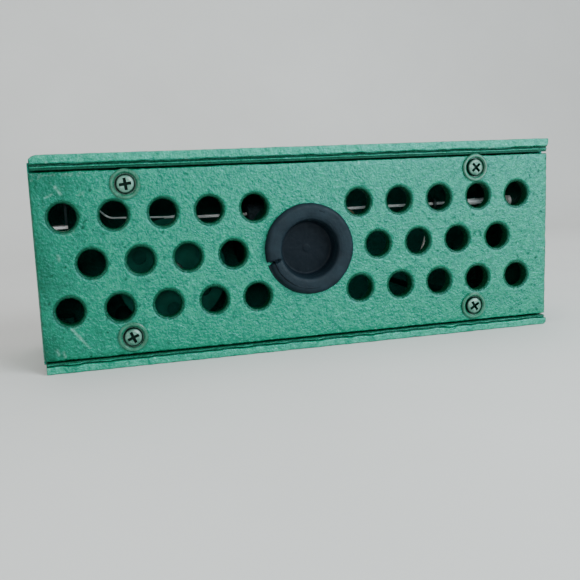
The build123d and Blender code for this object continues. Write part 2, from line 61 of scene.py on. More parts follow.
# ---------------------------------------------------------------- materials
def material(name, dark, light, rough=0.5, metal=0.0, scale=120.0, rough_var=0.1, bump=0.0, bump_scale=900.0, coat=0.0, spec=0.5, detail=6.0):
    m = bpy.data.materials.new(name)
    m.use_nodes = True
    nt = m.node_tree
    b = nt.nodes["Principled BSDF"]
    tc = nt.nodes.new("ShaderNodeTexCoord")
    n1 = nt.nodes.new("ShaderNodeTexNoise")
    n1.inputs["Scale"].default_value = scale
    n1.inputs["Detail"].default_value = detail
    n1.inputs["Roughness"].default_value = 0.6
    nt.links.new(tc.outputs["Object"], n1.inputs["Vector"])
    ramp = nt.nodes.new("ShaderNodeValToRGB")
    ramp.color_ramp.elements[0].position = 0.32
    ramp.color_ramp.elements[0].color = (*dark, 1)
    ramp.color_ramp.elements[1].position = 0.68
    ramp.color_ramp.elements[1].color = (*light, 1)
    nt.links.new(n1.outputs["Fac"], ramp.inputs["Fac"])
    nt.links.new(ramp.outputs["Color"], b.inputs["Base Color"])
    mr = nt.nodes.new("ShaderNodeMapRange")
    mr.inputs["From Min"].default_value = 0.3
    mr.inputs["From Max"].default_value = 0.7
    mr.inputs["To Min"].default_value = max(rough - rough_var, 0.03)
    mr.inputs["To Max"].default_value = min(rough + rough_var, 1.0)
    n2 = nt.nodes.new("ShaderNodeTexNoise")
    n2.inputs["Scale"].default_value = scale * 2.3
    n2.inputs["Detail"].default_value = 4.0
    nt.links.new(tc.outputs["Object"], n2.inputs["Vector"])
    nt.links.new(n2.outputs["Fac"], mr.inputs["Value"])
    nt.links.new(mr.outputs["Result"], b.inputs["Roughness"])
    b.inputs["Metallic"].default_value = metal
    b.inputs["Specular IOR Level"].default_value = spec
    b.inputs["Coat Weight"].default_value = coat
    b.inputs["Coat Roughness"].default_value = 0.12
    if bump > 0:
        n3 = nt.nodes.new("ShaderNodeTexNoise")
        n3.inputs["Scale"].default_value = bump_scale
        n3.inputs["Detail"].default_value = 3.0
        bp = nt.nodes.new("ShaderNodeBump")
        bp.inputs["Strength"].default_value = 1.0
        bp.inputs["Distance"].default_value = bump * MM
        nt.links.new(tc.outputs["Object"], n3.inputs["Vector"])
        nt.links.new(n3.outputs["Fac"], bp.inputs["Height"])
        nt.links.new(bp.outputs["Normal"], b.inputs["Normal"])
    return m


def enamel(name, dark, light, rough, dark_paint_and_shade=(0.0, 0.042, 0.016), bump=0.58):
    """Thick brushed enamel: colour drift over the panel, darker pooled paint plus painted shade in hollows, hole bores
    and corners, and an orange-peel skin.
    """
    m = material(name, dark, light, rough=rough, rough_var=0.08, scale=520.0, bump=bump, bump_scale=980.0, coat=0.08, spec=0.75, detail=3.0)
    nt = m.node_tree
    b = nt.nodes["Principled BSDF"]
    b.inputs["Specular Tint"].default_value = (0.30, 0.92, 1.0, 1.0)
    base = [l for l in nt.links if l.to_socket == b.inputs["Base Color"]][0].from_socket
    # pooled paint and painted shade: a vertex attribute runs from 0 on the open face to 1 in the corners, hollows and
    # hole bores, and mixes in a dark green
    at = nt.nodes.new("ShaderNodeAttribute")
    at.attribute_name = "pooled_paint_and_shade"
    mix = nt.nodes.new("ShaderNodeMix")
    mix.data_type = "RGBA"
    mix.inputs["B"].default_value = (*dark_paint_and_shade, 1)
    nt.links.new(at.outputs["Fac"], mix.inputs["Factor"])
    nt.links.new(base, mix.inputs["A"])
    # the sheen fades where the paint has pooled and where shade is painted
    sp = nt.nodes.new("ShaderNodeMapRange")
    sp.inputs["To Min"].default_value = 0.75
    sp.inputs["To Max"].default_value = 0.28
    nt.links.new(at.outputs["Fac"], sp.inputs["Value"])
    nt.links.new(sp.outputs["Result"], b.inputs["Specular IOR Level"])
    # pale scuffs
    at2 = nt.nodes.new("ShaderNodeAttribute")
    at2.attribute_name = "scuff"
    mix2 = nt.nodes.new("ShaderNodeMix")
    mix2.data_type = "RGBA"
    mix2.inputs["B"].default_value = (0.32, 0.60, 0.50, 1)
    nt.links.new(at2.outputs["Fac"], mix2.inputs["Factor"])
    nt.links.new(mix.outputs["Result"], mix2.inputs["A"])
    nt.links.new(mix2.outputs["Result"], b.inputs["Base Color"])
    return m


M = {
    "green": enamel("green_enamel", (0.001, 0.106, 0.048), (0.009, 0.205, 0.104), 0.32),
    # painted light: the lips wear the cover's green enamel, coloured lighter for the light on their front faces
    "lip": enamel("lip_enamel_painted_light", (0.003, 0.140, 0.070), (0.024, 0.290, 0.168), 0.30),
    "case": enamel("case_enamel", (0.002, 0.150, 0.082), (0.010, 0.240, 0.150), 0.36),
    # painted shade: the cup washers wear the cover's green enamel, coloured darker for the shade in their cups
    "washer": material("washer_enamel", (0.001, 0.070, 0.034), (0.006, 0.150, 0.085), 0.30, scale=420, bump=0.06, spec=0.7),
    "head": material("screw_head_paint", (0.016, 0.105, 0.066), (0.130, 0.270, 0.205), 0.34, metal=0.2, scale=520, rough_var=0.14, bump=0.05),
    "zinc": material("screw_zinc", (0.42, 0.42, 0.41), (0.66, 0.66, 0.64), 0.34, metal=1.0, scale=500, bump=0.02),
    "post": material("turned_steel", (0.30, 0.31, 0.32), (0.50, 0.51, 0.52), 0.32, metal=1.0, scale=260, bump=0.02),
    "dark": material("blackened_steel", (0.001, 0.028, 0.020), (0.004, 0.045, 0.033), 0.55, metal=0.0, scale=300, bump=0.03),
    "drum": material("drum_enamel", (0.000, 0.060, 0.038), (0.002, 0.100, 0.066), 0.6, scale=90, bump=0.08, spec=0.12),
    "felt": material("felt", (0.012, 0.022, 0.026), (0.035, 0.050, 0.055), 0.95, scale=900, bump=0.25, bump_scale=2600, spec=0.1),
    "chalk": material("blue_chalk", (0.02, 0.08, 0.35), (0.05, 0.16, 0.55), 1.0, scale=300, bump=0.3, bump_scale=1500, spec=0.05),
    "bronze": material("sintered_bronze", (0.30, 0.17, 0.06), (0.52, 0.33, 0.14), 0.42, metal=1.0, scale=700, bump=0.04, bump_scale=3000),
    "spring": material("spring_steel", (0.34, 0.38, 0.36), (0.55, 0.60, 0.57), 0.36, metal=0.2, scale=200, bump=0.01),

    # painted highlight: near white and barely metallic, so the nozzle and the line's bead read as bright glints
    "nickel": material("nickel_plate_painted_highlight", (0.80, 0.80, 0.77), (0.95, 0.94, 0.91), 0.32, metal=0.15, scale=240, rough_var=0.05),
    "line": material("line_cotton", (0.52, 0.53, 0.50), (0.80, 0.80, 0.76), 0.9, scale=1200, bump=0.1, bump_scale=4000, spec=0.1),
    # painted shade: the wound turns are the same cotton line as the run, coloured dark green for the shade inside the
    # case
    "wound": material("line_wound", (0.001, 0.040, 0.028), (0.004, 0.060, 0.044), 0.95, scale=300, bump=0.15, bump_scale=2500, spec=0.1),
    "rubber": material("stopper_rubber", (0.0030, 0.0085, 0.0130), (0.0065, 0.0150, 0.0215), 0.55, scale=160, rough_var=0.12, bump=0.06, bump_scale=1400, spec=0.3),
    "reel": material("reel_enamel", (0.000, 0.050, 0.032), (0.002, 0.075, 0.050), 0.7, scale=150, bump=0.05, spec=0.08),
    "crank": material("crank_zinc", (0.32, 0.32, 0.31), (0.52, 0.52, 0.50), 0.42, metal=1.0, scale=260, bump=0.08, bump_scale=1100),
    "grip": material("grip_plastic", (0.010, 0.010, 0.011), (0.022, 0.022, 0.024), 0.3, scale=200, bump=0.03),
    "brass": material("aged_brass", (0.05, 0.045, 0.022), (0.10, 0.085, 0.045), 0.5, metal=0.5, scale=300, bump=0.02),
    "hook": material("hook_steel", (0.34, 0.35, 0.36), (0.60, 0.61, 0.62), 0.36, metal=1.0, scale=340, bump=0.03),
}


def painted_depth_shade(m, deep, shade_tint, y0, gloss=0.6):
    """Painted shade: darker and duller with depth behind the plane y0, in a screw's recess and rim and inside the
    stopper's cup.
    """
    nt = m.node_tree
    b = nt.nodes["Principled BSDF"]
    base = [l for l in nt.links if l.to_socket == b.inputs["Base Color"]][0].from_socket
    tc = nt.nodes.new("ShaderNodeTexCoord")
    xyz = nt.nodes.new("ShaderNodeSeparateXYZ")
    mr = nt.nodes.new("ShaderNodeMapRange")
    mr.inputs["From Min"].default_value = y0 * MM
    mr.inputs["From Max"].default_value = (y0 + deep) * MM
    mix = nt.nodes.new("ShaderNodeMix")
    mix.data_type = "RGBA"
    mix.inputs["B"].default_value = (*shade_tint, 1)
    nt.links.new(tc.outputs["Object"], xyz.inputs["Vector"])
    nt.links.new(xyz.outputs["Y"], mr.inputs["Value"])
    nt.links.new(mr.outputs["Result"], mix.inputs["Factor"])
    nt.links.new(base, mix.inputs["A"])
    nt.links.new(mix.outputs["Result"], b.inputs["Base Color"])
    sp = nt.nodes.new("ShaderNodeMapRange")
    sp.inputs["To Min"].default_value = gloss
    sp.inputs["To Max"].default_value = 0.1
    nt.links.new(mr.outputs["Result"], sp.inputs["Value"])
    nt.links.new(sp.outputs["Result"], b.inputs["Specular IOR Level"])


def split(name, low, high, axis, at, width=0.2):
    """One colour below a plane across the row frame and another beyond it, such as a dark end on a bright wire; on the
    bracket and the keeper these are painted light and shade.
    """
    m = material(name, *low[:2], low[2], metal=low[3], scale=300, bump=0.02)
    nt = m.node_tree
    b = nt.nodes["Principled BSDF"]
    base = [l for l in nt.links if l.to_socket == b.inputs["Base Color"]][0].from_socket
    tc = nt.nodes.new("ShaderNodeTexCoord")
    xyz = nt.nodes.new("ShaderNodeSeparateXYZ")
    mr = nt.nodes.new("ShaderNodeMapRange")
    mr.inputs["From Min"].default_value = (at - width) * MM
    mr.inputs["From Max"].default_value = (at + width) * MM
    mix = nt.nodes.new("ShaderNodeMix")
    mix.data_type = "RGBA"
    mix.inputs["B"].default_value = (*high[0], 1)
    nt.links.new(tc.outputs["Object"], xyz.inputs["Vector"])
    nt.links.new(xyz.outputs[axis], mr.inputs["Value"])
    nt.links.new(mr.outputs["Result"], mix.inputs["Factor"])
    nt.links.new(base, mix.inputs["A"])
    nt.links.new(mix.outputs["Result"], b.inputs["Base Color"])
    return m


# painted light and shade on one piece of metal: the bracket's blade and foot are near white, a painted highlight, and
# its upright tab near black, painted shade; the keeper's wire is pale and its eye near black, painted shade; the
# spindle's head, in front, is dark and its shank bright steel
M["bracket"] = split("bracket_plate_painted_light_and_shade", ((0.66, 0.62, 0.58), (0.88, 0.84, 0.80), 0.5, 0.0), ((0.008, 0.020, 0.020),), "Z", ZC + 15.0)
M["keeper"] = split("keeper_wire", ((0.80, 0.70, 0.62), (0.95, 0.86, 0.78), 0.5, 0.0), ((0.012, 0.025, 0.02),), "Z", ZC + 8.5)
M["spindle"] = split("spindle_steel", ((0.010, 0.022, 0.018), (0.022, 0.040, 0.032), 0.42, 0.5), ((0.42, 0.43, 0.44),), "Y", 0.0)
M["bracket"].node_tree.nodes["Principled BSDF"].inputs["Specular IOR Level"].default_value = 0.08
# painted shade: the keeper's wire is also near black below ZC - 19 mm
for key, lo, hi in (("keeper", ZC - 19.0, 0.2),):
    nt = M[key].node_tree
    b = nt.nodes["Principled BSDF"]
    src = [l for l in nt.links if l.to_socket == b.inputs["Base Color"]][0].from_socket
    tc = nt.nodes.new("ShaderNodeTexCoord")
    xyz = nt.nodes.new("ShaderNodeSeparateXYZ")
    mr = nt.nodes.new("ShaderNodeMapRange")
    mr.inputs["From Min"].default_value = (lo - hi) * MM
    mr.inputs["From Max"].default_value = (lo + hi) * MM
    mix = nt.nodes.new("ShaderNodeMix")
    mix.data_type = "RGBA"
    mix.inputs["A"].default_value = (0.002, 0.014, 0.010, 1)
    nt.links.new(tc.outputs["Object"], xyz.inputs["Vector"])
    nt.links.new(xyz.outputs["Z"], mr.inputs["Value"])
    nt.links.new(mr.outputs["Result"], mix.inputs["Factor"])
    nt.links.new(src, mix.inputs["B"])
    nt.links.new(mix.outputs["Result"], b.inputs["Base Color"])
# painted shade in the screw heads' recesses and inside the stopper's cup
painted_depth_shade(M["head"], 0.30, (0.0, 0.010, 0.006), HEAD_FACE)
painted_depth_shade(M["rubber"], 4.0, (0.0010, 0.0035, 0.0066), COVER_Y0 + 0.5, 0.16)
# painted shade: inside the case tray, between the end walls and in front of the back wall, the enamel is painted a
# darker green and its sheen turned down; the outer faces keep the plain enamel
nt = M["case"].node_tree
b = nt.nodes["Principled BSDF"]
src = [l for l in nt.links if l.to_socket == b.inputs["Base Color"]][0].from_socket
tc = nt.nodes.new("ShaderNodeTexCoord")
xyz = nt.nodes.new("ShaderNodeSeparateXYZ")
ax = nt.nodes.new("ShaderNodeMath")
ax.operation = "ABSOLUTE"
ox = nt.nodes.new("ShaderNodeMath")
ox.operation = "GREATER_THAN"
ox.inputs[1].default_value = 0.1145
oy = nt.nodes.new("ShaderNodeMath")
oy.operation = "GREATER_THAN"
oy.inputs[1].default_value = 0.0277
both = nt.nodes.new("ShaderNodeMath")
both.operation = "MAXIMUM"
tray_inside_shade = nt.nodes.new("ShaderNodeMix")
tray_inside_shade.data_type = "RGBA"
tray_inside_shade.inputs["A"].default_value = (0.000, 0.070, 0.046, 1)
sp = nt.nodes.new("ShaderNodeMath")
sp.operation = "MULTIPLY_ADD"
sp.inputs[1].default_value = 0.6
sp.inputs[2].default_value = 0.08
nt.links.new(tc.outputs["Object"], xyz.inputs["Vector"])
nt.links.new(xyz.outputs["X"], ax.inputs[0])
nt.links.new(ax.outputs["Value"], ox.inputs[0])
nt.links.new(xyz.outputs["Y"], oy.inputs[0])
nt.links.new(ox.outputs["Value"], both.inputs[0])
nt.links.new(oy.outputs["Value"], both.inputs[1])
nt.links.new(both.outputs["Value"], tray_inside_shade.inputs["Factor"])
nt.links.new(src, tray_inside_shade.inputs["B"])
nt.links.new(tray_inside_shade.outputs["Result"], b.inputs["Base Color"])
nt.links.new(both.outputs["Value"], sp.inputs[0])
nt.links.new(sp.outputs["Value"], b.inputs["Specular IOR Level"])
b.inputs["Coat Weight"].default_value = 0.0
USE = {
    "case_tray": "case", "top_plate": "green", "bottom_plate": "green", "front_cover": "green", "cover_cup_washers": "washer",
    "cover_screws": "head", "plate_screws": "zinc", "back_screws": "zinc", "cover_posts": "dark", "chalk_drum": "drum",
    "felt_wipers": "felt", "chalk_powder": "chalk", "reel_bush": "bronze", "guide_pins": "dark", "guide_clips": "dark",
    "line_keeper": "keeper", "brake_bracket": "bracket", "brake_wire": "spring", "brake_screw": "dark", "line_nozzle": "nickel", "chalk_line": "line",
    "rubber_stopper": "rubber", "reel_hub": "reel", "wound_line": "wound", "reel_front_flange": "reel", "reel_back_flange": "reel",
    "reel_spindle": "spindle", "crank_arm": "crank", "crank_nut": "zinc", "grip_hinge_pin": "post", "grip_rod": "post",
    "crank_grip": "grip", "guide_sleeves": "brass", "line_bead": "nickel", "line_hook": "hook",
}
for n, k in USE.items():
    nodes[n].data.materials.clear()
    nodes[n].data.materials.append(M[k])


# ---------------------------------------------------------------- helpers
def coords(mesh):
    a = np.empty(len(mesh.vertices) * 3)
    mesh.vertices.foreach_get("co", a)
    return a.reshape(-1, 3)


def normals(mesh):
    a = np.empty(len(mesh.vertices) * 3)
    mesh.vertex_normals.foreach_get("vector", a)
    return a.reshape(-1, 3)


def put(mesh, co):
    mesh.vertices.foreach_set("co", co.ravel())
    mesh.update()


def field(co, scale, seed=0.0):
    """Smooth noise of about -1 to 1 at each point, with features of the given size in metres."""
    k = 1.0 / scale
    off = seed * 7.31
    return np.array([noise.noise((x * k + off, y * k - off, z * k + off)) for x, y, z in co]) * 1.6


def attribute(mesh, name, values):
    a = mesh.attributes.get(name) or mesh.attributes.new(name, "FLOAT", "POINT")
    a.data.foreach_set("value", np.asarray(values, np.float32))


def skin(node, name, mat, voxel, smooth=4):
    """A fine even mesh of a node's shape, ready to be modelled on."""
    o = bpy.data.objects.new(name, nodes[node].data.copy())
    bpy.context.scene.collection.objects.link(o)
    r = o.modifiers.new("remesh", "REMESH")
    r.mode = "VOXEL"
    r.voxel_size = voxel * MM
    r.adaptivity = 0.0
    if smooth:
        s = o.modifiers.new("smooth", "SMOOTH")
        s.iterations = smooth
        s.factor = 0.5
    dg = bpy.context.evaluated_depsgraph_get()
    me = bpy.data.meshes.new_from_object(o.evaluated_get(dg))
    bpy.data.objects.remove(o)
    me.materials.clear()
    me.materials.append(mat)
    me.shade_smooth()
    out = bpy.data.objects.new(name, me)
    bpy.context.scene.collection.objects.link(out)
    return out


def finish_piece(obj, body, *replaced):
    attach(obj, body)
    if replaced:
        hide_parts(*replaced)
    return obj


V = 0.5

# ---------------------------------------------------------------- front cover: thick enamel over a drilled plate
cover = skin("front_cover", "cover_enamel", M["green"], V, 3)
me = cover.data
co, no = coords(me), normals(me)
x, y, z = co.T / MM
zz = z - ZC
holes = [(a, 18.9) for a in TOP_ROW] + [(a, 0.0) for a in MID_ROW] + [(a, -18.8) for a in LOW_ROW]
dh = np.full(len(co), 1e9)
for hx, hz in holes:
    dh = np.minimum(dh, np.hypot(x - hx, zz - hz) - 6.3)
d = 0.045 * field(co, 3.2 * MM, 1) + 0.06 * field(co, 1.5 * MM, 2) + 0.10 * field(co, 14 * MM, 3) - 0.19
edge = np.minimum.reduce([115 - np.abs(x), COVER_HI - z, z - COVER_LO])
d -= 0.35 * np.clip(1 - edge / 2.5, 0, 1) * (0.6 + 0.6 * np.abs(field(co, 5 * MM, 4)))
front = no[:, 1] < -0.5
# paint bead round each drilled mouth, heavier at some than at others
bead = np.exp(-((dh - 0.7) / 0.6) ** 2)
d += np.where(front, 0.07 * bead * (0.5 + field(co, 6 * MM, 5)), 0)
# the shallow ring at the right, the small bump, and dents
rr = np.hypot(x - 78.3, zz - 0.9) + 0.6
d += np.where(front, -0.32 * np.exp(-((rr - 2.2) / 0.42) ** 2), 0)
d += np.where(front, 0.45 * np.exp(-((x - 84.0) ** 2 + (zz + 10.2) ** 2) / 1.6), 0)
for px, pz, pr, pa in ((-96, 30, 3.0, .18), (-20, 30, 2.2, .12), (10.5, -29, 2.6, .15), (55, 30.5, 2.4, .12), (92, -29, 3, .15), (-52, -9, 2, .12), (-94, -31, 4, .2)):
    d -= np.where(front, pa * np.exp(-((x - px) ** 2 + (zz - pz) ** 2) / pr ** 2), 0)
co = co + no * (d * MM)[:, None]
for hx, hz in holes:
    dx, dz = x - hx, zz - hz
    r = np.hypot(dx, dz)
    t = np.clip((y - COVER_Y0 - 0.10) / 0.7, 0, 1)
    t = t * t * (3 - 2 * t)
    shift = np.where((r < 7.0) & (no[:, 1] > -0.75), 0.92 * t, 0.0)
    co[:, 0] -= dx / np.maximum(r, 1e-6) * shift * MM
    co[:, 2] -= dz / np.maximum(r, 1e-6) * shift * MM
    co[:, 1] += 0.30 * MM * np.where(front, np.exp(-((r - 6.3) / 0.55) ** 2), 0)
put(me, co)
# painted shade: darker down each hole bore and round its mouth, under the lips along the top and bottom edges, in a
# ring round each screw seat, and in the upper half of the shallow ring; also darker along both ends and in the paint's
# pores
inside = np.clip((y - (COVER_Y0 + 0.18)) / 0.7, 0, 1)
rim = np.clip(1 - np.minimum(COVER_HI - z, z - COVER_LO) / 1.0, 0, 1) * 0.8
seat = np.zeros(len(co))
for sx, sz in SCREWS:
    q = np.hypot(x - sx, zz - sz)
    seat = np.maximum(seat, np.clip(1 - np.abs(q - 6.2) / 0.9, 0, 1) * 0.35)
# painted shade: darker towards the left and lower left, where less light falls
left = np.clip((-86 - x) / 27, 0, 1) ** 1.2 * 0.50 + np.clip((-40 - x) / 60, 0, 1) * 0.16 + np.clip((-20 - x) / 90, 0, 1) * np.clip((-20 - zz) / 20, 0, 1) * 0.25
pores = np.clip(field(co, 1.3 * MM, 41) - 0.66, 0, 1) * (0.9 + 1.2 * np.clip((np.abs(x) - 45) / 50, 0, 1)) * front
ring = np.where(front & (zz > 0.3), 0.75 * np.exp(-((rr - 2.4) / 0.45) ** 2), 0)
ends = np.clip(1 - (115 - np.abs(x)) / 1.3, 0, 1) * 0.8
attribute(me, "pooled_paint_and_shade", np.clip(np.maximum.reduce([inside, pores, ring, ends, np.clip(1 - (dh - 0.22) / 0.28, 0, 1), rim, seat, left * (0.8 + 0.4 * field(co, 20 * MM, 8))]), 0, 1))
sc = np.zeros(len(co))
# pale scratches at the lower left corner, and flecks along the lower edge
for (ax, az), (bx, bz), w in (((-103, -26), (-99.5, -30.5), .28), ((-100.5, -29.5), (-96.5, -34.5), .18), ((-109.5, -34.0), (-108.8, -36), .3), ((-107, -35), (-106.4, -37), .22),
                              ((-105, 31), (-103, 28), .3), ((-109, 27), (-106.5, 28), .22), ((-106, 4), (-105.6, 2), .25)):
    ab = np.array((bx - ax, bz - az))
    t = np.clip(((x - ax) * ab[0] + (zz - az) * ab[1]) / (ab @ ab), 0, 1)
    q = np.hypot(x - ax - t * ab[0], zz - az - t * ab[1])
    sc = np.maximum(sc, np.where(front, np.exp(-(q / (w * 1.3)) ** 2) * 0.5 * (0.6 + 0.5 * field(co, 1.2 * MM, 33)), 0))
fl = field(co, 2.0 * MM, 9)
sc = np.maximum(sc, np.where(front & (edge < 2.2), np.clip(fl - 0.9, 0, 1) * 0.8, 0))
attribute(me, "scuff", np.clip(sc, 0, 1))
finish_piece(cover, "case", "front_cover")

# ---------------------------------------------------------------- top and bottom plates: a lumpy, chipped lip over a set-back strip
def thick(points, step):
    out = []
    n = len(points)
    for i in range(n):
        a, b = points[i], points[(i + 1) % n]
        st = step if min(a[0], b[0]) < -20 else 2.5
        k = max(1, int(math.hypot(b[0] - a[0], b[1] - a[1]) / st))
        out += [(a[0] + (b[0] - a[0]) * t / k, a[1] + (b[1] - a[1]) * t / k) for t in range(k)]
    return out


SECTIONS = {
    "top_plate": [(30, 0), (-20, 0), (-29.5, 0), (-29.85, 0.15), (-30, 0.5), (-30, 3.5), (-29.7, 3.75), (-28.1, 3.85), (-28.1, 4.55), (-29.2, 4.65), (-29.3, 5.1),
                  (-28.1, 5.2), (-28.1, 6.1), (-23.4, 6.15), (-23.4, 3.0), (-19, 3.0), (30, 3.0)],
    "bottom_plate": [(30, 0), (-20, 0), (-29.5, 0), (-29.85, 0.15), (-30, 0.5), (-30, 2.8), (-29.8, 3.0), (-28.1, 3.1), (-28.1, 3.5), (-29.1, 3.6), (-29.2, 3.95),
                     (-28.1, 4.0), (-28.1, 4.3), (-23.4, 4.35), (-23.4, 3.0), (-19, 3.0), (30, 3.0)],
}
XSTEP = 0.45
for node, sign in (("top_plate", 1), ("bottom_plate", -1)):
    sec = np.array(thick(SECTIONS[node], 0.3))
    nx = int(228 / XSTEP)
    xs = np.linspace(-114, 114, nx + 1)
    k = len(sec)
    X = np.repeat(xs[:, None], k, 1)
    Y = np.repeat(sec[None, :, 0], nx + 1, 0)
    D = np.repeat(sec[None, :, 1], nx + 1, 0)        # depth below the outer face
    base = np.stack([X, Y, D], -1).reshape(-1, 3)
    x, y, dp = base.T
    co = np.stack([x, y, (CASE_H - dp) if sign > 0 else dp], -1) * MM
    stretch = co * np.array((1, 0.25, 0.25))
    big = field(stretch, 9 * MM, 11 + sign)
    mid = field(stretch, 4.5 * MM, 15 + sign)
    fine = field(co, 2.2 * MM, 13 + sign)
    lip = np.clip((-28.6 - y) / 1.0, 0, 1) * (dp < 3.8)
    ridge = (y < -28.6) & (dp > 3.9 if sign > 0 else dp > 3.3)
    # the lip's face: brushed-on enamel, thick in places; its lower edge wanders and sags
    face = np.clip((-28.6 - y) / 1.2, 0, 1)
    y2 = y + face * lip * (0.22 + 0.20 * mid + 0.10 * fine).clip(0, 0.8)
    low = np.clip((dp - 1.6) / 1.6, 0, 1) * lip
    sag = 0.28 * big + 0.26 * mid + 0.1 * fine
    tear = np.clip(field(stretch, 7 * MM, 21 + sign) - 0.55, 0, 1) * 2.2
    dp2 = dp + low * np.clip(sag - tear, -1.8, 0.45)
    # a smear of paint bridges the groove in places
    y2 = np.where(ridge, y2 + np.clip(0.5 * mid + 0.35, -0.2, 1.0), y2)
    dp2 = np.where(ridge, dp2 + 0.10 * mid, dp2)
    dp2 += np.where(dp < 0.6, np.clip(0.10 + 0.07 * mid + 0.05 * fine, 0, 0.4) * np.clip((-24 - y) / 4, 0, 1), 0)
    if sign > 0:
        e = np.clip((-110.5 - x) / 3.5, 0, 1)
        dp2 += np.where(dp < 2.2, e ** 2.2 * 1.5, 0) * (y < 0)
        e2 = np.clip((x - 112.4) / 1.6, 0, 1)
        dp2 -= np.where(dp > 2.0, e2 * 1.1, 0) * lip
    else:
        e2 = np.clip((x - 112.8) / 1.2, 0, 1)
        dp2 += np.where(dp < 1.0, e2 ** 2 * 0.7, 0) * lip
    dp2 = np.maximum(dp2, 0.0)
    P = np.stack([x, np.clip(y2, -30, 30), (CASE_H - dp2) if sign > 0 else dp2], -1) * MM
    faces = [(i * k + j, i * k + (j + 1) % k, (i + 1) * k + (j + 1) % k, (i + 1) * k + j) for i in range(nx) for j in range(k)]
    faces += [tuple(range(k - 1, -1, -1)), tuple(nx * k + j for j in range(k))]
    me = bpy.data.meshes.new(node + "_enamel")
    me.from_pydata([tuple(v) for v in P], [], faces)
    me.materials.append(M["lip"])
    # painted shade: the lip's lower edge, the groove's ridge and the set-back strip behind the lip are darkened; random
    # darker pooled paint on the lip's face
    attribute(me, "pooled_paint_and_shade", np.clip(np.where(lip > 0.2, np.clip((dp2 - 3.0) / 0.7, 0, 0.8), np.where(ridge, 0.35, np.where(y < -20, 0.95, 0.0) * (dp > 2.5))) + np.clip(-mid - 0.5, 0, 1) * 0.5 * lip, 0, 1))
    attribute(me, "scuff", np.clip((fine - 0.9) * 0.8, 0, 0.5) * lip)
    o = bpy.data.objects.new(node + "_enamel", me)
    bpy.context.scene.collection.objects.link(o)
    import bmesh
    bm = bmesh.new()
    bm.from_mesh(me)
    bmesh.ops.recalc_face_normals(bm, faces=bm.faces)
    bm.to_mesh(me)
    bm.free()
    # countersunk seats for the plate's screws
    cones = []
    for sx in (-107.0, 103.0):
        for sy in (-14.0, 18.0):
            bpy.ops.mesh.primitive_cone_add(vertices=48, radius1=3.25, radius2=1.7, depth=1.6, location=(sx, sy, 0))
            c = bpy.context.object
            c.scale = (MM, MM, MM * (-sign))
            c.location = (sx * MM, sy * MM, (CASE_H - 0.75) * MM if sign > 0 else 0.75 * MM)
            cones.append(c)
    bpy.ops.object.select_all(action="DESELECT")
    for c in cones:
        c.select_set(True)
    bpy.context.view_layer.objects.active = cones[0]
    bpy.ops.object.join()
    cut = bpy.context.object
    bpy.ops.object.transform_apply(location=True, rotation=True, scale=True)
    bm = bmesh.new()
    bm.from_mesh(cut.data)
    bmesh.ops.recalc_face_normals(bm, faces=bm.faces)
    bm.to_mesh(cut.data)
    bm.free()
    md = o.modifiers.new("cut", "BOOLEAN")
    md.operation = "DIFFERENCE"
    md.solver = "EXACT"
    md.object = cut
    dg = bpy.context.evaluated_depsgraph_get()
    new = bpy.data.meshes.new_from_object(o.evaluated_get(dg))
    o.modifiers.clear()
    o.data = new
    bpy.data.objects.remove(cut)
    while len(new.materials) > 1:
        new.materials.pop()
    new.polygons.foreach_set("material_index", [0] * len(new.polygons))
    new.shade_smooth()
    finish_piece(o, "case", node)


# ---------------------------------------------------------------- rubber stopper: a rounded lip with a torn step, a cup with a nub
def lathe(name, profile, centre, mat, n=256, change=None, axis="Y"):
    """Turns a profile of (radius, depth) round an axis along Y through centre, both in mm; change edits (angle, radius, depth)."""
    pts = np.array(profile, float)
    ang = np.linspace(0, 2 * math.pi, n, endpoint=False)
    A, R = np.meshgrid(ang, pts[:, 0], indexing="ij")
    D = np.repeat(pts[None, :, 1], n, 0)
    if change:
        R, D = change(A, R, D)
    X = centre[0] + R * np.cos(A)
    Z = centre[2] + R * np.sin(A)
    Y = centre[1] + D
    verts = np.stack([X, Y, Z], -1).reshape(-1, 3) * MM
    k = len(pts)
    faces = []
    for i in range(n):
        j = (i + 1) % n
        for q in range(k - 1):
            faces.append((i * k + q, j * k + q, j * k + q + 1, i * k + q + 1))
    me = bpy.data.meshes.new(name)
    me.from_pydata([tuple(v) for v in verts], [], faces)
    me.materials.append(mat)
    me.validate()
    me.shade_smooth()
    o = bpy.data.objects.new(name, me)
    bpy.context.scene.collection.objects.link(o)
    import bmesh
    bm = bmesh.new()
    bm.from_mesh(me)
    bmesh.ops.remove_doubles(bm, verts=bm.verts, dist=1e-7)
    bmesh.ops.recalc_face_normals(bm, faces=bm.faces)
    bm.to_mesh(me)
    bm.free()
    return o


def dense(profile, step=0.25):
    out = [profile[0]]
    for a, b in zip(profile, profile[1:]):
        n = max(1, int(math.hypot(b[0] - a[0], b[1] - a[1]) / step))
        out += [(a[0] + (b[0] - a[0]) * i / n, a[1] + (b[1] - a[1]) * i / n) for i in range(1, n + 1)]
    return out


prof = [(0.0, 11.0), (14.6, 11.0), (15.8, 10.2), (16.3, 5.0), (16.3, 0.3), (19.2, 0.3), (19.75, 0.0), (19.9, -0.7)]
prof += [(17.7 + 2.2 * math.cos(t), -0.7 - 2.15 * math.sin(t)) for t in np.linspace(0.1, 1.57, 9)]
prof += [(15.6, -2.85), (14.2, -2.72), (13.1, -2.3), (12.55, -1.5), (12.1, 1.0), (11.5, 3.4), (11.1, 3.95), (10.6, 4.1), (1.8, 4.1), (1.3, 3.95), (0.0, 3.93)]


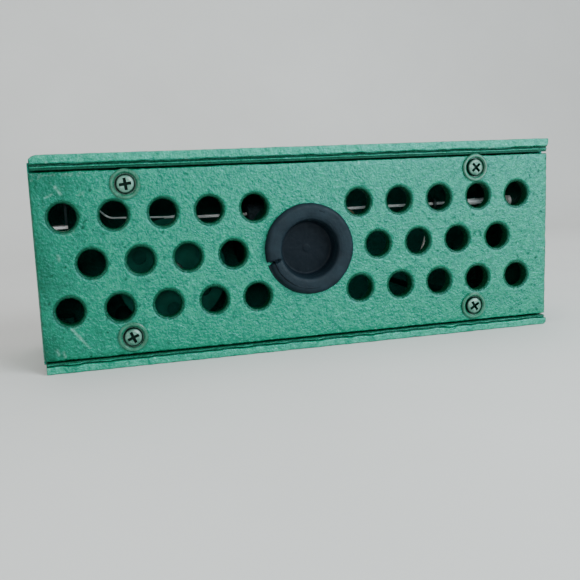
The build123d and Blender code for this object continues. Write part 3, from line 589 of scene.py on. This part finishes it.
def worn(A, R, D):
    """The lip stands further out over the upper left than below, and is torn at the left."""
    a = np.degrees(A) % 360
    lipz = (D < 0.2) & (R > 12.3)
    w = np.clip((-D + 0.2) / 1.0, 0, 1)
    step = 1 / (1 + np.exp(-(a - 194) / 1.2))          # 0 above the tear, 1 below it
    fade = np.clip((290 - a) / 90, 0, 1) * (a > 150)
    R2 = R - np.where(lipz & (R > 17), w * 1.25 * step * fade, 0)
    D2 = D + np.where(lipz, w * (0.55 * step * fade), 0)
    cut = np.exp(-((a - 196) / 1.7) ** 2)
    along = np.clip((R - 13.4) / 1.5, 0, 1)
    D2 = D2 + np.where(lipz, w * cut * along * 1.9, 0)
    R2 = R2 - np.where(lipz & (R > 18), w * cut * 1.0, 0)
    ripple = 0.10 * np.sin(3 * A + 0.7) + 0.06 * np.sin(7 * A + 2.1) + 0.03 * np.sin(19 * A)
    R2 = R2 + np.where(lipz & (R > 17), w * (ripple - 0.12), 0)
    D2 = D2 + np.where(lipz, w * 0.12 * (1 + np.sin(2 * A + 1.2)) / 2, 0)
    floor = (D > 3.9) & (D < 4.5) & (R > 3) & (R < 10.2)
    D2 = D2 - np.where(floor, 0.035 * np.clip(np.cos(8 * A) * 4 - 3, 0, 1), 0)
    return R2, D2


st = lathe("stopper_rubber_body", dense(prof), (XP, COVER_Y0, ZC), M["rubber"], 360, worn)
co, no = coords(st.data), normals(st.data)
d = 0.05 * field(co, 4 * MM, 31) + 0.02 * field(co, 1.2 * MM, 32) - 0.05
put(st.data, co + no * (d * MM)[:, None])
finish_piece(st, "stopper", "rubber_stopper")

# ---------------------------------------------------------------- reel: close turns of line, and the twisted line itself
turns, half = 18, 13.9
prof = [(8.0, half), (20.5, half)]
for t in np.linspace(0, 1, turns * 8 + 1):
    prof.append((21.05 + 0.75 * abs(math.sin(math.pi * t * turns)) ** 0.7, half - 2 * half * t))
prof += [(20.5, -half), (8.0, -half)]
w = lathe("wound_turns", prof, (-60.0, 0.0, ZC - 8.0), M["wound"], 180, lambda A, R, D: (R, D + np.where(np.abs(D) < 13.2, 0.10 * np.sin(3 * A + D) + 0.05 * np.sin(11 * A), 0)))
finish_piece(w, "reel", "wound_line")


def twisted(name, x0, x1, z, mat, r=0.74, pitch=3.2, step=0.3):
    n = int((x1 - x0) / step)
    k = 24
    verts, faces = [], []
    for i in range(n + 1):
        xx = x0 + (x1 - x0) * i / n
        for j in range(k):
            a = 2 * math.pi * j / k
            rr = r * (0.86 + 0.14 * abs(math.cos(1.5 * (a - 2 * math.pi * xx / pitch))))
            verts.append((xx * MM, rr * math.cos(a) * MM, (z + rr * math.sin(a)) * MM))
    for i in range(n):
        for j in range(k):
            faces.append((i * k + j, i * k + (j + 1) % k, (i + 1) * k + (j + 1) % k, (i + 1) * k + j))
    faces.append(tuple(range(k))[::-1])
    faces.append(tuple(range(n * k, n * k + k)))
    me = bpy.data.meshes.new(name)
    me.from_pydata(verts, [], faces)
    me.materials.append(mat)
    me.shade_smooth()
    o = bpy.data.objects.new(name, me)
    bpy.context.scene.collection.objects.link(o)
    return o


ln = twisted("line_run", -60.0, 112.7, LINE_Z, M["line"])
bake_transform(ln)
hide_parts("chalk_line")

# ---------------------------------------------------------------- floor, camera and lights
fl = bpy.data.meshes.new("floor")
prof = [(-1.8, 0.0)] + [(y, 0.0) for y in (-0.5, 0.0, 0.4)] + [(0.4 + 0.35 * math.sin(t), 0.35 - 0.35 * math.cos(t)) for t in np.linspace(0.1, 1.57, 16)] + [(0.75, 2.4)]
vs = [(sx * 3.0, yy, zz_) for yy, zz_ in prof for sx in (-1, 1)]
fl.from_pydata(vs, [], [(2 * i, 2 * i + 1, 2 * i + 3, 2 * i + 2) for i in range(len(prof) - 1)])
fl.shade_smooth()
floor = bpy.data.objects.new("floor", fl)
bpy.context.scene.collection.objects.link(floor)
floor.location = (0, 0, 0)
fl.materials.append(material("pale_floor", (0.60, 0.59, 0.57), (0.66, 0.65, 0.63), 0.75, scale=3.0, spec=0.25))

cam_data = bpy.data.cameras.new("camera")
cam = bpy.data.objects.new("camera", cam_data)
bpy.context.scene.collection.objects.link(cam)
cam_data.sensor_width = 36.0
cam_data.lens = 48.51
R = Vector((0.961, -0.274, -0.038)).normalized()
B = Vector((-0.265, -0.951, 0.160)).normalized()
U = B.cross(R).normalized()
R = U.cross(B).normalized()
cam.matrix_world = Matrix(((R.x, U.x, B.x, -0.1008), (R.y, U.y, B.y, -0.3487), (R.z, U.z, B.z, 0.0802), (0, 0, 0, 1)))
cam_data.clip_start = 0.01
bpy.context.scene.camera = cam


def area(name, loc, target, size, power, color=(1, 1, 1)):
    l = bpy.data.lights.new(name, "AREA")
    l.shape = "RECTANGLE"
    l.size, l.size_y = size
    l.energy = power
    l.color = color
    o = bpy.data.objects.new(name, l)
    bpy.context.scene.collection.objects.link(o)
    o.location = loc
    o.rotation_mode = "QUATERNION"
    o.rotation_quaternion = (Vector(target) - Vector(loc)).to_track_quat("-Z", "Y")
    return o


area("window", (0.75, -0.85, 0.85), (0.02, -0.03, 0.04), (0.9, 0.7), 15.5, (0.88, 0.97, 1.0))
area("sheen", (0.42, -0.55, 0.22), (0.03, -0.03, 0.04), (0.55, 0.60), 5.2, (0.72, 0.93, 1.0))
area("top", (-0.1, 0.1, 1.2), (0, 0, 0.04), (1.2, 1.0), 9, (1.0, 0.99, 0.97))
area("fill", (-0.9, -0.6, 0.5), (-0.05, -0.03, 0.04), (0.8, 0.8), 3.0, (1.0, 0.97, 0.93))
area("front", (-0.22, -1.0, 0.30), (0.0, 0.0, 0.045), (0.25, 0.25), 3.2, (0.92, 0.98, 1.0))
world = bpy.data.worlds.new("world")
bpy.context.scene.world = world
world.use_nodes = True
world.node_tree.nodes["Background"].inputs["Color"].default_value = (0.80, 0.84, 0.90, 1)
world.node_tree.nodes["Background"].inputs["Strength"].default_value = 0.28

bpy.context.view_layer.update()
